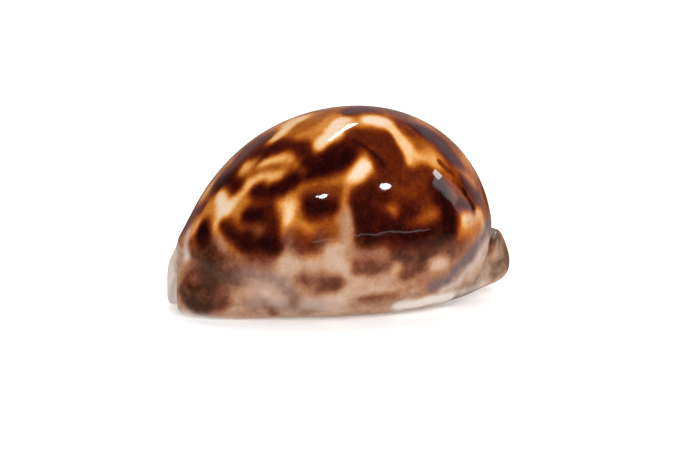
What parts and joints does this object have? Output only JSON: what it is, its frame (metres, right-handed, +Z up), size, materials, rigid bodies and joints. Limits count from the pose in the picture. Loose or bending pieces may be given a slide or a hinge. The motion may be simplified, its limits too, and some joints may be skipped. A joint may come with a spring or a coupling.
{
  "type": "cowrie shell",
  "caption": "Glossy egg-shaped cowrie shell with a domed spotted back, a flat base with a toothed slot mouth, a canal at each end, and a hollow inside.",
  "frame": {"origin": "under the middle of the shell's bounding box, on the plane that the base rests on", "axes": "+X towards the blunt rear end, +Y towards the outer lip, +Z up through the domed back"},
  "size_m": [0.0842, 0.0556, 0.0462],
  "materials": {
    "shell": "natural high polish, dark brown spots on amber and cream, pale base"
  },
  "bodies": {
    "root": {"cowrie_shell": "shell"}
  },
  "joints": []
}
